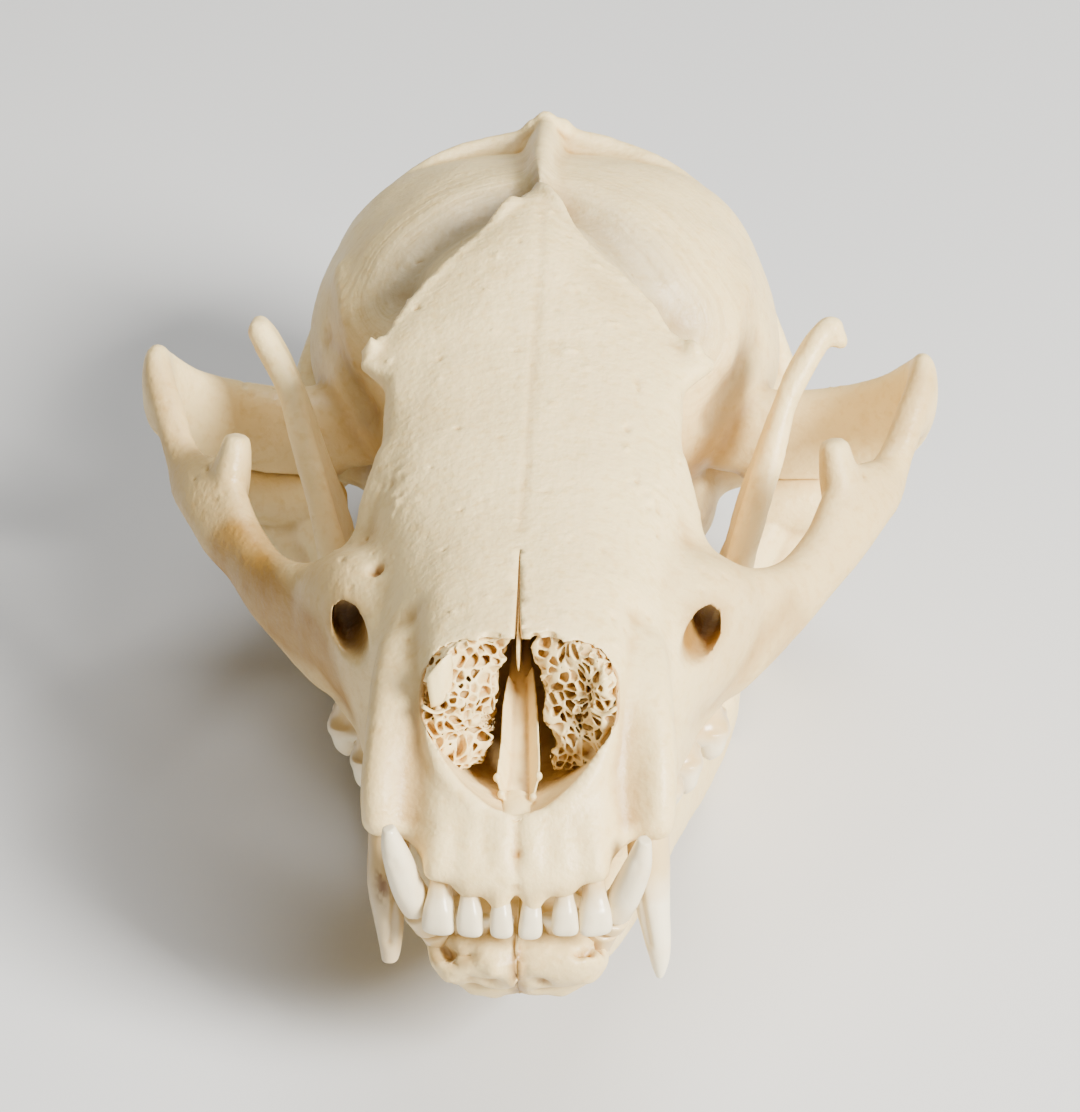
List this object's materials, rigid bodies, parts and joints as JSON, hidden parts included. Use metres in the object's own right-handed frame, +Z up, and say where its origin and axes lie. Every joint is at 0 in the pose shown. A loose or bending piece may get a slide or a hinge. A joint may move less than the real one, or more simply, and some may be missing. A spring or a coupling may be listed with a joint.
{
  "type": "raccoon skull",
  "caption": "Life-size dry raccoon skull with the lower jaw closed: crested domed braincase, flaring cheek arches, open nose, long canines and full tooth rows.",
  "frame": {"origin": "centre of the bounding box's base, on the floor under the skull", "axes": "-Y out of the nose, +Y towards the back of the head, +Z up, +X the animal's left"},
  "size_m": [0.0809, 0.1192, 0.0525],
  "materials": {
    "bone": "dry cream bone, satin",
    "amber_bone": "dry bone warmed to amber, satin",
    "jaw_bone": "dry cream bone, satin"
  },
  "bodies": {
    "root": {"braincase": "bone", "face": "bone", "cheekbone_left": "amber_bone", "cheekbone_right": "amber_bone", "mandible_left": "jaw_bone", "mandible_right": "jaw_bone"}
  },
  "joints": []
}
